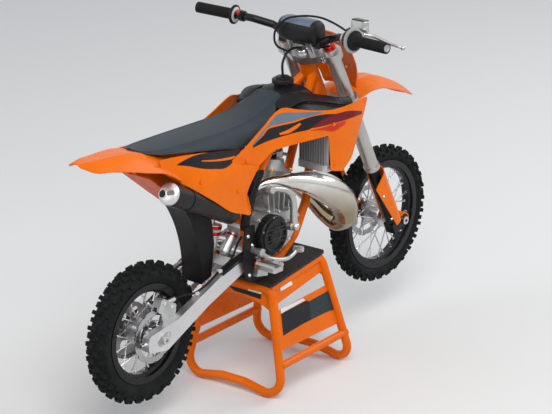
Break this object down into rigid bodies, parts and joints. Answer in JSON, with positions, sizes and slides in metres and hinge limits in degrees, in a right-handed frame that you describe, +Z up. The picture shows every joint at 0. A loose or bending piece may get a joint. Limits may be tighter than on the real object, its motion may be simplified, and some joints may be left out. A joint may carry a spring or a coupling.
{
  "type": "mini motocross bike on a paddock stand",
  "caption": "Child-size motocross bike with laced wheels, expansion chamber exhaust and plastic bodywork, parked on its steel paddock stand; steering and both wheels turn.",
  "frame": {"origin": "centre of the bounding box on the floor under the stand's feet", "axes": "+X points to the front of the bike, +Y to the rider's left, +Z up"},
  "size_m": [1.486, 0.6874, 1.04],
  "materials": {
    "tyre": "black rubber",
    "rim_black": "black anodised",
    "hub_silver": "machined",
    "disc_steel": "ground",
    "sprocket_steel": "plain",
    "chain_steel": "oiled",
    "arm_silver": "satin",
    "axle_steel": "zinc plated",
    "frame_orange": "powder coated",
    "engine_alu": "cast",
    "cover_black": "satin black",
    "kick_steel": "forged",
    "pipe_nickel": "nickel plated",
    "silencer_black": "satin black",
    "cap_silver": "satin",
    "radiator_alu": "plain",
    "tank_black": "moulded",
    "seat_cover": "ribbed vinyl",
    "plastic_orange": "glossy",
    "flap_black": "matt",
    "shock_steel": "machined",
    "peg_steel": "plain",
    "fork_alu": "anodised",
    "slider_black": "black anodised",
    "clamp_alu": "anodised",
    "bar_black": "satin black",
    "grip_rubber": "soft",
    "control_black": "moulded",
    "control_alu": "cast",
    "stand_orange": "powder coated",
    "hose_rubber": "smooth",
    "mat_rubber": "matt"
  },
  "bodies": {
    "chassis": {"countershaft": "sprocket_steel", "chain": "chain_steel", "swingarm": "arm_silver", "rear_axle_shaft": "axle_steel", "pivot_bolt": "axle_steel", "frame": "frame_orange", "crankcase": "engine_alu", "cylinder": "engine_alu", "carburettor": "engine_alu", "rear_caliper": "engine_alu", "clutch_cover": "cover_black", "kick_lever": "kick_steel", "brake_pedal": "kick_steel", "exhaust_pipe": "pipe_nickel", "silencer": "silencer_black", "silencer_cap": "cap_silver", "radiators": "radiator_alu", "tank": "tank_black", "filler_cap": "tank_black", "frame_guards": "tank_black", "airbox": "tank_black", "seat": "seat_cover", "shrouds": "plastic_orange", "side_panels": "plastic_orange", "rear_fender": "plastic_orange", "inner_fender": "plastic_orange", "mud_flap": "flap_black", "shock": "shock_steel", "footpegs": "peg_steel", "stand_frame": "stand_orange", "rear_brake_hose": "hose_rubber", "vent_hose": "hose_rubber", "stand_mat": "mat_rubber"},
    "steering": {"fork_tubes": "fork_alu", "fork_sliders": "slider_black", "front_axle_shaft": "axle_steel", "triple_clamps": "clamp_alu", "handlebar": "bar_black", "grips": "grip_rubber", "throttle_housing": "control_black", "master_cylinder": "control_alu", "brake_lever": "kick_steel", "bar_pad": "grip_rubber", "number_plate": "plastic_orange", "fork_guards": "plastic_orange", "front_fender": "plastic_orange", "front_caliper": "engine_alu", "throttle_cable": "hose_rubber"},
    "front_wheel": {"front_tyre": "tyre", "front_rim": "rim_black", "front_hub": "hub_silver", "front_disc": "disc_steel"},
    "rear_wheel": {"rear_tyre": "tyre", "rear_rim": "rim_black", "rear_hub": "hub_silver", "rear_disc": "disc_steel", "rear_sprocket": "sprocket_steel"}
  },
  "joints": [
    {"name": "steering_turn", "type": "hinge", "parent": "chassis", "child": "steering", "pos_m": [0.4783, 0, 0.31023], "axis": [-0.4462, 0, 0.8949], "range_deg": [-40, 40]},
    {"name": "front_wheel_spin", "type": "hinge", "parent": "steering", "child": "front_wheel", "pos_m": [0.532, 0, 0.337], "axis": [0, 1, 0], "continuous": true},
    {"name": "rear_wheel_spin", "type": "hinge", "parent": "chassis", "child": "rear_wheel", "pos_m": [-0.508, 0, 0.28], "axis": [0, 1, 0], "continuous": true}
  ]
}
